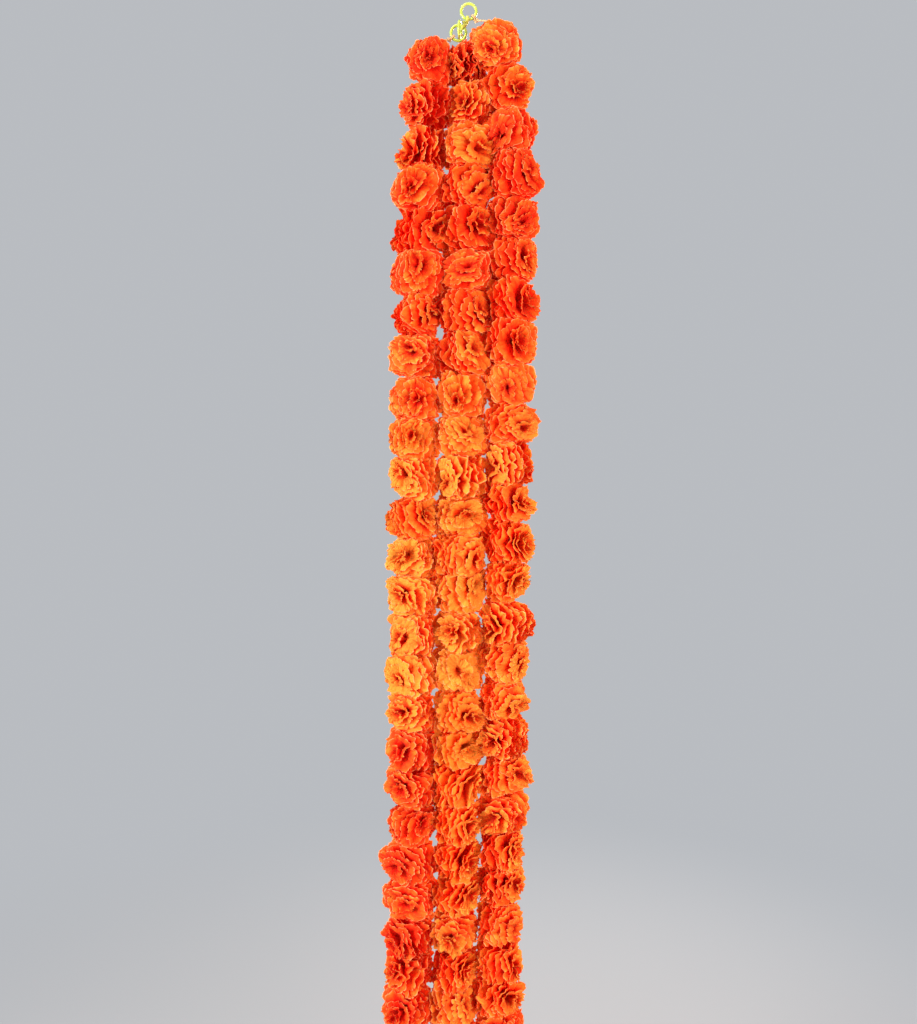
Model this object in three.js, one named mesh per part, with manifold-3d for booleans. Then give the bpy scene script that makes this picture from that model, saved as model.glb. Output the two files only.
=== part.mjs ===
// Marigold garland: three strands of fabric blooms side by side, each threaded on a nylon cord,
// hung together from plastic rings. Millimetres, +Z up, +X to the right seen from the front (-Y).
// The origin is the hanging point: the inside of the uppermost ring, at its top.
import * as THREE from "three";
import { mergeVertices } from "three/addons/utils/BufferGeometryUtils.js";
import Module from "manifold-3d";

const wasm = await Module();
wasm.setup();

// Strands. Blooms are counted from the top; the first four of a strand lean in towards the rings.
// A heading of 1 shows most of a strand's heads from the left, and -1 from the right.
const pitch = 43.6; // from one bloom's centre to the next along a strand
const bloomsPerStrand = 34;
const strands = [
  {
    side: "left",
    x: -53.5,
    firstZ: -62,
    lean: [12, 4.5, 4, 2],
    depth: [-3, 0, 0, 0],
    seed: 11,
    heading: 1,
  },
  {
    side: "middle",
    x: 0,
    firstZ: -58.5,
    lean: [-2, 2, 5, 1],
    depth: [10, 5, 2, 0],
    seed: 47,
    heading: -1,
  },
  {
    side: "right",
    x: 53.5,
    firstZ: -44.5,
    lean: [-21.5, -9, -4, 1],
    depth: [-10, -3, 0, 0],
    seed: 83,
    heading: -1,
  },
];

// A bloom is two flower heads back to back across the cord. Each head is two tiers of petals:
// a wide one next to the cord and a small cupped one round the throat.
const petals = 6;
const wideTier = { along: 10, radius: 26.5, notch: 0.82, ruffle: 2.4 };
const ruffleVariety = 1.6; // how far a petal may stand off its ruffle
const petalVariety = 0.1; // share by which petals differ in length
const petalSway = 8; // degrees by which a petal may stand aside
const tierGap = { along: 12.5, radius: 11 };
const faceTier = { along: 22, radius: 19, notch: 0.74, ruffle: 2 };
const throatDepth = 7; // how far from the cord a head's throat ends
const waist = { along: 2.6, radius: 17 };
const bloomReach = 27; // no petal stands farther than this from its bloom's centre

// The turn of a bloom is the heading of its two heads, 0 for left and right, 90 for front and back.
const firstTurns = { left: [98, 25], middle: [4, 62], right: [76, 118] };
const firstSizes = { left: [0.87, 1], middle: [0.84, 0.98], right: [0.86, 0.97] };
const facingShare = 0.3; // share of the other blooms that show the front of a head
const facingSpread = 38; // how far they may turn from facing front
const asideTurn = 28; // the least that the rest turn from lying left and right, and
const asideSpread = 32; // how much more they may turn
const headingShare = 0.8; // share of those that follow their strand's heading
const nodSlope = 0.14;

// Cords and the holes they run in
const cordRadius = 1.1;
const boreHalf = 1.4;
const sleeveHalf = 2.6;
const cordSides = 6;
const tailLength = 9; // bare cord below the last bloom, before its end knot
const endKnotRadius = 4.2;
const pressGap = 0.2; // from a petal to the plane halfway to the next bloom
const pressFrom = 0.62; // share of the way to that plane from where petals are pressed
const holeClearance = 0.8; // straight cord above and below a bloom, before a bend

// Rings: a moulded wire ring at the top of each cord
const ringRadius = 7.9;
const ringWire = 1.4;
const rings = {
  right: { centre: [0, 0, ringWire - ringRadius], yaw: 0 },
  middle: { centre: [-8.9, 0, -24.9], yaw: 80 },
  left: { centre: [-10.4, 0, -28.4], yaw: 0 },
};
const eyeRadius = 2.6; // an eye is a small loop of cord round a ring's wire
const eyeWire = 0.8;
const knotRadius = 2.6;

const up = new THREE.Vector3(0, 0, 1);
const radians = (degrees) => (degrees * Math.PI) / 180;

// A fixed draw between 0 and 1 for each whole number
function draw(number) {
  const wave = Math.sin(number * 12.9898) * 43758.5453;
  return wave - Math.floor(wave);
}

// --- where the blooms are ---

function bloomCentre(strand, row) {
  const x = strand.x + (strand.lean[row] ?? 0);
  return new THREE.Vector3(x, strand.depth[row] ?? 0, strand.firstZ - row * pitch);
}

function bloomTurn(strand, row) {
  const chosen = firstTurns[strand.side][row];
  if (chosen !== undefined) return chosen;
  const key = strand.seed + row * 7;
  const spread = (draw(key + 1) - 0.5) * 2;
  if (draw(key) < facingShare) return 90 + spread * facingSpread;
  const heading = draw(key + 2) < headingShare ? strand.heading : -strand.heading;
  return heading * (asideTurn + Math.abs(spread) * asideSpread);
}

function allBlooms() {
  const blooms = [];
  for (const strand of strands) {
    for (let row = 0; row < bloomsPerStrand; row += 1) {
      const centre = bloomCentre(strand, row);
      const size = firstSizes[strand.side][row] ?? 1;
      const turn = bloomTurn(strand, row);
      blooms.push({ strand, row, centre, turn, size, key: strand.seed * 100 + row * 13 });
    }
  }
  return blooms;
}

// Directions from a bloom to the ones near it, each with the distance that its petals may reach
function leanedOn(bloom, blooms) {
  const near = blooms.filter((other) => {
    const distance = other.centre.distanceTo(bloom.centre);
    return distance > 1 && distance < 2 * bloomReach + 2;
  });
  return near.map((other) => {
    const towards = other.centre.clone().sub(bloom.centre);
    const reach = towards.length() / 2 - pressGap;
    return { towards: towards.normalize(), reach };
  });
}

// A petal that would pass the halfway plane is pressed back, in proportion, behind it
function press(offset, presses) {
  for (const { towards, reach } of presses) {
    const start = reach * pressFrom;
    const along = offset.dot(towards);
    if (along <= start) continue;
    const share = Math.min((along - start) / (bloomReach - 1 - start), 1);
    offset.addScaledVector(towards, start + share * (reach - start) - along);
  }
  return offset;
}

// --- the mesh of a pair of blooms ---

function newMesh() {
  return { points: [], faces: [] };
}

function addPoint(mesh, point) {
  mesh.points.push(point.x, point.y, point.z);
  return mesh.points.length / 3 - 1;
}

function meshGeometry(mesh) {
  const geometry = new THREE.BufferGeometry();
  geometry.setAttribute("position", new THREE.Float32BufferAttribute(mesh.points, 3));
  geometry.setIndex(mesh.faces);
  return geometry;
}

// Triangles between two rings of points round the same axis, taken in order of angle
function stitch(mesh, near, far) {
  const angle = (ring, i) => ring[i % ring.length].angle + 360 * Math.floor(i / ring.length);
  const middle = (ring, i) => angle(ring, i) + angle(ring, i + 1);
  const id = (ring, i) => ring[i % ring.length].id;
  let i = 0;
  let j = 0;
  while (i < near.length || j < far.length) {
    const stepNear = j === far.length || (i < near.length && middle(near, i) <= middle(far, j));
    if (stepNear) {
      mesh.faces.push(id(near, i), id(near, i + 1), id(far, j));
      i += 1;
    } else {
      mesh.faces.push(id(near, i), id(far, j + 1), id(far, j));
      j += 1;
    }
  }
}

function fan(mesh, apex, ring, side) {
  ring.forEach((point, i) => {
    const next = ring[(i + 1) % ring.length];
    if (side > 0) mesh.faces.push(apex, point.id, next.id);
    else mesh.faces.push(apex, next.id, point.id);
  });
}

// The four walls between two square loops; `facing` is 1 for an outside and -1 for a bore
function walls(mesh, lower, upper, facing) {
  for (let i = 0; i < 4; i += 1) {
    const j = (i + 1) % 4;
    const quad = [lower[i], lower[j], upper[j], lower[i], upper[j], upper[i]];
    mesh.faces.push(...(facing > 0 ? quad : quad.reverse()));
  }
}

// Right-handed directions of a bloom: across along its heads, beside, and up its cord
function bloomAxes(turn, cordUp) {
  const across = new THREE.Vector3(Math.cos(radians(turn)), Math.sin(radians(turn)), 0);
  across.addScaledVector(cordUp, -across.dot(cordUp)).normalize();
  return { across, beside: cordUp.clone().cross(across), up: cordUp };
}

// One tier's edge: tips and notches in turn, ruffled to and fro along the head
function tierRing(mesh, bloom, axes, side, tier, tierKey) {
  const ring = [];
  const count = petals * 2;
  const nod = (draw(bloom.key + side + 5) - 0.5) * 2 * nodSlope;
  for (let i = 0; i < count; i += 1) {
    const isTip = (i + tierKey) % 2 === 0;
    const luck = draw(bloom.key * 3 + tierKey * 31 + i + side * 400) - 0.5;
    const angle = (360 * i) / count + luck * petalSway;
    const radius = tier.radius * bloom.size * (isTip ? 1 + luck * petalVariety : tier.notch);
    const swing = (isTip ? 1 : -1) * (i % 4 < 2 ? 1 : -0.6);
    const wave = tier.ruffle * swing + luck * ruffleVariety;
    const along = side * (tier.along * bloom.size + wave);
    const beside = radius * Math.cos(radians(angle));
    const rise = radius * Math.sin(radians(angle));
    const offset = new THREE.Vector3();
    offset.addScaledVector(axes.across, along - side * nod * rise);
    offset.addScaledVector(axes.beside, beside);
    offset.addScaledVector(axes.up, rise + nod * Math.abs(along));
    offset.clampLength(0, bloomReach);
    press(offset, bloom.presses);
    ring.push({ id: addPoint(mesh, offset.add(bloom.centre)), angle });
  }
  return ring;
}

// The narrow ring between two tiers, one point behind each petal
function gapRing(mesh, bloom, axes, side) {
  const ring = [];
  for (let i = 0; i < petals; i += 1) {
    const angle = (360 * (i + 0.5)) / petals;
    const offset = new THREE.Vector3();
    const radius = tierGap.radius * bloom.size;
    offset.addScaledVector(axes.across, side * tierGap.along * bloom.size);
    offset.addScaledVector(axes.beside, radius * Math.cos(radians(angle)));
    offset.addScaledVector(axes.up, radius * Math.sin(radians(angle)));
    ring.push({ id: addPoint(mesh, offset.add(bloom.centre)), angle });
  }
  return ring;
}

// A head's back edge beside the cord, with two corners of each square hole in it
function waistRing(mesh, bloom, axes, square, side, holes) {
  const radius = waist.radius * bloom.size;
  const turned = Math.round(bloom.turn / 90);
  const corner = (angle, besideSign) => {
    const isTop = angle < 180;
    const half = isTop ? bloom.topHalf : bloom.bottomHalf;
    const quarter = { "1,1": 0, "-1,1": 1, "-1,-1": 2, "1,-1": 3 }[`${side},${besideSign}`];
    const slot = (quarter + turned + 8) % 4;
    const offset = square[slot].clone().multiplyScalar(half);
    offset.addScaledVector(axes.up, isTop ? radius : -radius);
    const id = addPoint(mesh, offset.add(bloom.centre));
    (isTop ? holes.top : holes.bottom)[slot] = id;
    return { id, angle };
  };
  const plain = (angle) => {
    const offset = new THREE.Vector3();
    offset.addScaledVector(axes.across, side * waist.along);
    offset.addScaledVector(axes.beside, radius * Math.cos(radians(angle)));
    offset.addScaledVector(axes.up, radius * Math.sin(radians(angle)));
    return { id: addPoint(mesh, offset.add(bloom.centre)), angle };
  };
  return [
    plain(30),
    corner(84, 1),
    corner(96, -1),
    plain(150),
    plain(210),
    corner(264, -1),
    corner(276, 1),
    plain(330),
  ];
}

// One bloom's skin, open at the top and bottom holes, which it returns
function addBloom(mesh, bloom, cordUp, square) {
  const axes = bloomAxes(bloom.turn, cordUp);
  const holes = { top: [], bottom: [] };
  const waists = {};
  for (const side of [-1, 1]) {
    const throat = axes.across.clone().multiplyScalar(side * throatDepth * bloom.size);
    const apex = addPoint(mesh, throat.add(bloom.centre));
    const face = tierRing(mesh, bloom, axes, side, faceTier, 0);
    const gap = gapRing(mesh, bloom, axes, side);
    const wide = tierRing(mesh, bloom, axes, side, wideTier, 1);
    waists[side] = waistRing(mesh, bloom, axes, square, side, holes);
    const order = [face, gap, wide, waists[side]];
    fan(mesh, apex, face, side);
    for (let i = 0; i < 3; i += 1) {
      if (side < 0) stitch(mesh, order[i], order[i + 1]);
      else stitch(mesh, order[i + 1], order[i]);
    }
  }
  const [left, right] = [waists[-1], waists[1]];
  left.forEach((point, i) => {
    if (i === 1 || i === 5) return; // the holes
    const j = (i + 1) % left.length;
    mesh.faces.push(point.id, left[j].id, right[i].id);
    mesh.faces.push(left[j].id, right[j].id, right[i].id);
  });
  return holes;
}

// Two blooms that follow each other on the cord, held together by the sleeve between them
function bloomPair(above, below) {
  const cordUp = above.centre.clone().sub(below.centre).normalize();
  const squareX = new THREE.Vector3(1, 0, 0).addScaledVector(cordUp, -cordUp.x).normalize();
  const squareY = cordUp.clone().cross(squareX);
  const square = [[1, 1], [-1, 1], [-1, -1], [1, -1]].map(([x, y]) => {
    return squareX.clone().multiplyScalar(x).addScaledVector(squareY, y);
  });
  Object.assign(above, { topHalf: boreHalf, bottomHalf: sleeveHalf });
  Object.assign(below, { topHalf: sleeveHalf, bottomHalf: boreHalf });
  const mesh = newMesh();
  const upperHoles = addBloom(mesh, above, cordUp, square);
  const lowerHoles = addBloom(mesh, below, cordUp, square);
  walls(mesh, lowerHoles.top, upperHoles.bottom, 1);
  walls(mesh, lowerHoles.bottom, upperHoles.top, -1);
  return meshGeometry(mesh);
}

// --- booleans ---

function solid(geometry) {
  const bare = geometry.clone();
  bare.deleteAttribute("normal");
  bare.deleteAttribute("uv");
  const merged = mergeVertices(bare, 1e-4);
  const vertProperties = new Float32Array(merged.attributes.position.array);
  const triVerts = new Uint32Array(merged.index.array);
  return new wasm.Manifold(new wasm.Mesh({ numProp: 3, vertProperties, triVerts }));
}

function fuse(geometries) {
  const joined = geometries.map(solid).reduce((sum, next) => sum.add(next));
  const { vertProperties, triVerts } = joined.getMesh();
  return meshGeometry({ points: Array.from(vertProperties), faces: Array.from(triVerts) });
}

// --- rings, cords and knots ---

// A place on a ring's wire, with the wire's direction there and the way out from the ring's centre
function ringPlace(ring, degrees) {
  const turn = new THREE.Matrix4().makeRotationZ(radians(ring.yaw));
  const out = new THREE.Vector3(Math.cos(radians(degrees)), 0, Math.sin(radians(degrees)));
  const along = new THREE.Vector3(-Math.sin(radians(degrees)), 0, Math.cos(radians(degrees)));
  out.applyMatrix4(turn);
  along.applyMatrix4(turn);
  const at = new THREE.Vector3(...ring.centre).addScaledVector(out, ringRadius);
  return { at, along, out };
}

function ringGeometry(ring) {
  const geometry = new THREE.TorusGeometry(ringRadius, ringWire, 6, 18);
  geometry.rotateX(Math.PI / 2);
  geometry.rotateZ(radians(ring.yaw));
  geometry.translate(...ring.centre);
  return geometry;
}

function eyeGeometry(place) {
  const geometry = new THREE.TorusGeometry(eyeRadius, eyeWire, 5, 8);
  const facing = new THREE.Quaternion().setFromUnitVectors(up, place.along);
  geometry.applyQuaternion(facing);
  geometry.translate(place.at.x, place.at.y, place.at.z);
  return geometry;
}

function knotGeometry(centre, radius) {
  const geometry = new THREE.SphereGeometry(radius, 6, 4);
  geometry.rotateX(Math.PI / 2);
  geometry.translate(centre.x, centre.y, centre.z);
  return geometry;
}

// A cord along straight stretches, with mitred bends and flat ends
function cordGeometry(route) {
  const mesh = newMesh();
  const sections = route.map((point, i) => {
    const before = point.clone().sub(route[Math.max(i - 1, 0)]).normalize();
    const after = route[Math.min(i + 1, route.length - 1)].clone().sub(point).normalize();
    const along = before.clone().add(after).normalize();
    const stretch = i > 0 && i < route.length - 1 ? 1 / along.dot(after) : 1;
    const first = new THREE.Vector3(0, 1, 0).addScaledVector(along, -along.y).normalize();
    const second = along.clone().cross(first);
    const bend = after.clone().sub(before);
    const bendWay = bend.length() > 1e-6 ? bend.normalize() : new THREE.Vector3();
    return Array.from({ length: cordSides }, (_, k) => {
      const angle = (2 * Math.PI * k) / cordSides;
      const offset = first.clone().multiplyScalar(cordRadius * Math.cos(angle));
      offset.addScaledVector(second, cordRadius * Math.sin(angle));
      offset.addScaledVector(bendWay, (stretch - 1) * offset.dot(bendWay));
      return addPoint(mesh, offset.add(point));
    });
  });
  for (let i = 1; i < sections.length; i += 1) {
    for (let k = 0; k < cordSides; k += 1) {
      const next = (k + 1) % cordSides;
      const [a, b] = [sections[i - 1], sections[i]];
      mesh.faces.push(a[k], a[next], b[next], a[k], b[next], b[k]);
    }
  }
  const last = sections[sections.length - 1];
  for (let k = 1; k < cordSides - 1; k += 1) {
    mesh.faces.push(sections[0][0], sections[0][k + 1], sections[0][k]);
    mesh.faces.push(last[0], last[k], last[k + 1]);
  }
  return meshGeometry(mesh);
}

// The route of a strand's cord: from its knot, through every bloom, to the tail below the last
function cordRoute(blooms, lead) {
  const route = [...lead];
  for (let i = 0; i < 4; i += 2) {
    const [above, below] = [blooms[i], blooms[i + 1]];
    const cordUp = above.centre.clone().sub(below.centre).normalize();
    const topReach = waist.radius * above.size + holeClearance;
    const bottomReach = waist.radius * below.size + holeClearance;
    route.push(above.centre.clone().addScaledVector(cordUp, topReach));
    route.push(below.centre.clone().addScaledVector(cordUp, -bottomReach));
  }
  const straight = blooms[4].centre.clone();
  route.push(straight.clone().setZ(straight.z + waist.radius + holeClearance));
  const tailZ = blooms[blooms.length - 1].centre.z - waist.radius - tailLength;
  route.push(straight.clone().setZ(tailZ));
  return route;
}

function strandCord(blooms, place, knotAt, lead) {
  const route = cordRoute(blooms, [knotAt, ...lead]);
  const tail = route[route.length - 1];
  return fuse([
    cordGeometry(route),
    eyeGeometry(place),
    knotGeometry(knotAt, knotRadius),
    knotGeometry(tail, endKnotRadius),
  ]);
}

// --- materials ---

const fabricColours = { left: 0xf0451c, middle: 0xf7701e, right: 0xf3581d };
const limePlastic = new THREE.MeshStandardMaterial({ color: 0xb9d84a, roughness: 0.35, metalness: 0 });
const greenNylon = new THREE.MeshStandardMaterial({ color: 0xc4c93c, roughness: 0.5, metalness: 0 });
const tanNylon = new THREE.MeshStandardMaterial({ color: 0xc9a66a, roughness: 0.55, metalness: 0 });

function fabricMaterial(side) {
  return new THREE.MeshStandardMaterial({ color: fabricColours[side], roughness: 0.9, metalness: 0 });
}

// --- the garland ---

const garland = new THREE.Group();

function addNode(name, geometry, material) {
  const mesh = new THREE.Mesh(geometry, material);
  mesh.name = name;
  garland.add(mesh);
}

const blooms = allBlooms();
blooms.forEach((bloom) => {
  bloom.presses = leanedOn(bloom, blooms);
});

for (const strand of strands) {
  const own = blooms.filter((bloom) => bloom.strand === strand);
  const material = fabricMaterial(strand.side);
  for (let row = 0; row < bloomsPerStrand; row += 2) {
    const number = String(row / 2 + 1).padStart(2, "0");
    addNode(`blooms_${strand.side}_${number}`, bloomPair(own[row], own[row + 1]), material);
  }
}

for (const [side, ring] of Object.entries(rings)) {
  addNode(`ring_${side}`, ringGeometry(ring), limePlastic);
}

// The tie holds the left strand's ring to the right strand's
const tieTop = ringPlace(rings.right, 260);
const tieEnd = ringPlace(rings.left, 50);
const tieKnot = tieTop.at.clone().lerp(tieEnd.at, 0.5);
addNode(
  "ring_tie",
  fuse([eyeGeometry(tieTop), eyeGeometry(tieEnd), knotGeometry(tieKnot, knotRadius)]),
  greenNylon,
);

const cordStarts = {
  left: { degrees: 215, knot: [-20.3, 0, -35.4], lead: [[-36, -2, -37.5]] },
  middle: { degrees: 320, knot: [-7.5, 8.2, -33.6], lead: [] },
  right: { degrees: 310, knot: [8, -0.5, -15.9], lead: [[20, -9, -19]] },
};

for (const strand of strands) {
  const start = cordStarts[strand.side];
  const own = blooms.filter((bloom) => bloom.strand === strand);
  const place = ringPlace(rings[strand.side], start.degrees);
  const lead = start.lead.map((point) => new THREE.Vector3(...point));
  const knotAt = new THREE.Vector3(...start.knot);
  addNode(`cord_${strand.side}`, strandCord(own, place, knotAt, lead), tanNylon);
}

export default garland;
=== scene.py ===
import math

import bmesh
import bpy
from mathutils import Matrix, Vector


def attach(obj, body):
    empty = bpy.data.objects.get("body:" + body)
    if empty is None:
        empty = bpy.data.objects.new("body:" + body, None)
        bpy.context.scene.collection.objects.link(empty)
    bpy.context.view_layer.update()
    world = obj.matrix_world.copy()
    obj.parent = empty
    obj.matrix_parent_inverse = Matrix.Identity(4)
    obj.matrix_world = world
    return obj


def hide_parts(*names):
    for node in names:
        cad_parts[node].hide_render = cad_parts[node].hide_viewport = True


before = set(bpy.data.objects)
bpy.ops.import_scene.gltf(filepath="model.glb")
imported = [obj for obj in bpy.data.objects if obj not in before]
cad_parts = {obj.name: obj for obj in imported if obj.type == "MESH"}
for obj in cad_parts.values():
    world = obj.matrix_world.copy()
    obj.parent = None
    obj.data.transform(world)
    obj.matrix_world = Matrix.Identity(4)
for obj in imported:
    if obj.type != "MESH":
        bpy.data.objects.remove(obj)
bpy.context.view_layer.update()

mm = 0.001
scene = bpy.context.scene


def draw(number):  # a fixed draw between 0 and 1 for each whole number
    wave = math.sin(number * 12.9898) * 43758.5453
    return wave - math.floor(wave)


def inMetres(values):
    return Vector(values) * mm


def nodeMaker(tree):  # a short way to add a node with its settings, its numbers and its wires
    def node(kind, feeds=(), **settings):
        made = tree.nodes.new(kind)
        for key, value in settings.items():
            setattr(made, key, value)
        for place, value in feeds.items() if isinstance(feeds, dict) else enumerate(feeds):
            if isinstance(value, bpy.types.NodeSocket):
                tree.links.new(value, made.inputs[place])
            elif value is not None:
                made.inputs[place].default_value = value
        return made
    return node


def mathsMaker(node):
    def maths(operation, *numbers):
        return node("ShaderNodeMath", numbers, operation=operation).outputs[0]
    return maths


def noiseMaker(node):
    def noise(place, scale, detail, roughness=0.5):
        feeds = {"Vector": place, "Scale": scale, "Detail": detail, "Roughness": roughness}
        return node("ShaderNodeTexNoise", feeds).outputs["Fac"]
    return noise


def newFinish(name):  # a material, its tree and the way to add a node to it
    material = bpy.data.materials.new(name)
    material.use_nodes = True
    tree = material.node_tree
    return material, tree, nodeMaker(tree)


def newShape(name, inputs):  # a Geometry Nodes tree with named inputs
    tree = bpy.data.node_groups.new(name, "GeometryNodeTree")
    tree.interface.new_socket("Geometry", in_out="INPUT", socket_type="NodeSocketGeometry")
    for label, kind in inputs.items():
        tree.interface.new_socket(label, in_out="INPUT", socket_type=f"NodeSocket{kind}")
    tree.interface.new_socket("Geometry", in_out="OUTPUT", socket_type="NodeSocketGeometry")
    return tree


def shapeWith(holder, tree, values):
    modifier = holder.modifiers.new("shape", "NODES")
    modifier.node_group = tree
    for item in tree.interface.items_tree:
        if item.in_out == "INPUT" and item.name in values:
            modifier[item.identifier] = values[item.name]
    return modifier


def linked(name, data):
    made = bpy.data.objects.new(name, data)
    scene.collection.objects.link(made)
    return made


def plainPiece(holder, name, keep=()):  # the modifier's result as a mesh with these attributes
    graph = bpy.context.evaluated_depsgraph_get()
    mesh = bpy.data.meshes.new_from_object(
        holder.evaluated_get(graph), preserve_all_data_layers=True, depsgraph=graph
    )
    holder.modifiers.clear()
    bpy.data.objects.remove(holder)
    for label in [a.name for a in mesh.attributes]:
        attribute = mesh.attributes[label]
        if not (attribute.is_internal or attribute.is_required or label in keep):
            mesh.attributes.remove(attribute)
    mesh.name = name
    return linked(name, mesh)


def standFor(piece, slotName, *nodes):
    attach(piece, "root")
    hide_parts(*nodes)


# the camera: its place in mm, its turns in degrees, its lens and film in mm
cameraPlan = {
    "place": (-3, -990, -449),
    "pitch": -5.0,
    "roll": 0.84,
    "focal": 31.64,
    "sensor": 36.0,
}


def setCamera():
    data = bpy.data.cameras.new("camera")
    data.lens = cameraPlan["focal"]
    data.sensor_width = cameraPlan["sensor"]
    data.clip_start, data.clip_end = 0.05, 40
    camera = linked("camera", data)
    tilt = Matrix.Rotation(math.radians(90 + cameraPlan["pitch"]), 4, "X")
    roll = Matrix.Rotation(math.radians(cameraPlan["roll"]), 4, "Z")
    camera.matrix_world = Matrix.Translation(inMetres(cameraPlan["place"])) @ tilt @ roll
    scene.camera = camera


setCamera()
print("camera set")


# where the blooms hang, in mm and degrees, as in the part
strandPlan = {
    "pitch": 43.6,
    "rows": 34,
    "reach": 27,  # from the cord to the rim of a head
    "facingShare": 0.3,  # share of the blooms with one head to the front
    "facingSpread": 38,
    "headingShare": 0.8,  # share of the others that are turned the way most of the strand is
    "asideTurn": 28,
    "asideSpread": 32,
    "left": {
        "x": -53.5,
        "firstZ": -62,
        "lean": [12, 4.5, 4, 2],
        "depth": [-3, 0, 0, 0],
        "seed": 11,
        "heading": 1,
        "turns": [98, 25],
        "sizes": [0.87, 1],
        "open": -1,  # the way in which no strand hangs beside this one
    },
    "middle": {
        "x": 0,
        "firstZ": -58.5,
        "lean": [-2, 2, 5, 1],
        "depth": [10, 5, 2, 0],
        "seed": 47,
        "heading": -1,
        "turns": [4, 62],
        "sizes": [0.84, 0.98],
        "open": 0,
    },
    "right": {
        "x": 53.5,
        "firstZ": -44.5,
        "lean": [-21.5, -9, -4, 1],
        "depth": [-10, -3, 0, 0],
        "seed": 83,
        "heading": -1,
        "turns": [76, 118],
        "sizes": [0.86, 0.97],
        "open": 1,
    },
}
sides = ("left", "middle", "right")


def early(values, row, usual):
    return values[row] if row < len(values) else usual


def bloomTurn(strand, row):
    key = strand["seed"] + row * 7
    spread = (draw(key + 1) - 0.5) * 2
    if draw(key) < strandPlan["facingShare"]:
        return 90 + spread * strandPlan["facingSpread"]
    heading = strand["heading"] if draw(key + 2) < strandPlan["headingShare"] else -strand["heading"]
    return heading * (strandPlan["asideTurn"] + abs(spread) * strandPlan["asideSpread"])


def bloomAt(side, row):
    strand = strandPlan[side]
    return {
        "side": side,
        "row": row,
        "centre": Vector((
            strand["x"] + early(strand["lean"], row, 0),
            early(strand["depth"], row, 0),
            strand["firstZ"] - row * strandPlan["pitch"],
        )),
        "turn": math.radians(early(strand["turns"], row, bloomTurn(strand, row))),
        "size": early(strand["sizes"], row, 1),
        "key": strand["seed"] * 100 + row * 13,
    }


blooms = {side: [bloomAt(side, row) for row in range(strandPlan["rows"])] for side in sides}


# the moulded rings, in mm and degrees
ringPlan = {
    "radius": 7.9,
    "wire": 1.4,
    "right": {"centre": (0, 0, -6.5), "yaw": 0},
    "middle": {"centre": (-8.9, 0, -24.9), "yaw": 80},
    "left": {"centre": (-10.4, 0, -28.4), "yaw": 0},
    "steps": (88, 18),  # round the ring and round its wire
    "seam": 0.10,  # how far the mould's parting line stands out
    "gate": 0.35,  # the nub where the plastic ran in
    "gateAt": 0.64,  # its place, as a share of the way round
    "gateWidth": 1.3,  # in steps round the ring
    "colour": (0.48, 0.62, 0.08),
    "pale": (0.668, 0.857, 0.128),
    "cloud": (160.0, 0.3, 0.75),  # scale of the cloudy tint and where it is darkest and palest
    "grain": (900.0, 0.0001),  # scale and depth, in metres, of the moulded surface
    "roughness": 0.24,
    "clear": 0.35,  # how far light passes through the plastic
}


def ringPlastic():
    material, tree, node = newFinish("limePlastic")
    noise = noiseMaker(node)
    shader = tree.nodes["Principled BSDF"]
    place = node("ShaderNodeTexCoord").outputs["Object"]
    scale, *positions = ringPlan["cloud"]
    tint = node("ShaderNodeValToRGB", (noise(place, scale, 2.0),))
    colours = (ringPlan["colour"], ringPlan["pale"])
    for stop, position, colour in zip(tint.color_ramp.elements, positions, colours):
        stop.position, stop.color = position, (*colour, 1)
    scale, depth = ringPlan["grain"]
    grain = noise(place, scale, 2.0)
    bump = node("ShaderNodeBump", {"Height": grain, "Strength": 0.3, "Distance": depth})
    tree.links.new(tint.outputs["Color"], shader.inputs["Base Color"])
    tree.links.new(bump.outputs["Normal"], shader.inputs["Normal"])
    shader.inputs["Roughness"].default_value = ringPlan["roughness"]
    shader.inputs["Transmission Weight"].default_value = ringPlan["clear"]
    shader.inputs["IOR"].default_value = 1.49
    shader.inputs["Coat Weight"].default_value = 0.3
    return material


def ringFrame(ring, degrees):  # a place on a ring's wire, the way along it and the way out
    turn = Matrix.Rotation(math.radians(ring["yaw"]), 3, "Z")
    angle = math.radians(degrees)
    out = turn @ Vector((math.cos(angle), 0, math.sin(angle)))
    along = turn @ Vector((-math.sin(angle), 0, math.cos(angle)))
    return Vector(ring["centre"]) + out * ringPlan["radius"], along, out


def makeRings():
    plastic = ringPlastic()
    around, section = ringPlan["steps"]
    for side in sides:
        ring = ringPlan[side]
        beside = Matrix.Rotation(math.radians(ring["yaw"]), 3, "Z") @ Vector((0, 1, 0))
        points, faces = [], []
        for i in range(around):
            at, _, out = ringFrame(ring, 360 * i / around)
            away = (i - around * ringPlan["gateAt"]) / ringPlan["gateWidth"]
            gate = ringPlan["gate"] * math.exp(-away ** 2)
            for k in range(section):
                angle = 2 * math.pi * k / section
                wide = ringPlan["wire"] * (1 + ringPlan["seam"] * (k in (0, section // 2)))
                wide += gate * max(0.0, math.cos(angle))
                points.append((at + out * math.cos(angle) * wide + beside * math.sin(angle) * wide) * mm)
                nextRow, nextPoint = (i + 1) % around, (k + 1) % section
                faces.append((i * section + k, i * section + nextPoint,
                              nextRow * section + nextPoint, nextRow * section + k))
        mesh = bpy.data.meshes.new(f"limeRing_{side}")
        mesh.from_pydata(points, [], faces)
        mesh.materials.append(plastic)
        outwards(mesh)
        standFor(linked(f"limeRing_{side}", mesh), "ring_plastic", f"ring_{side}")


def outwards(mesh):  # smooth faces that point outwards
    shape = bmesh.new()
    shape.from_mesh(mesh)
    bmesh.ops.recalc_face_normals(shape, faces=shape.faces)
    for face in shape.faces:
        face.smooth = True
    shape.to_mesh(mesh)
    shape.free()


makeRings()
print("rings made")


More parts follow.
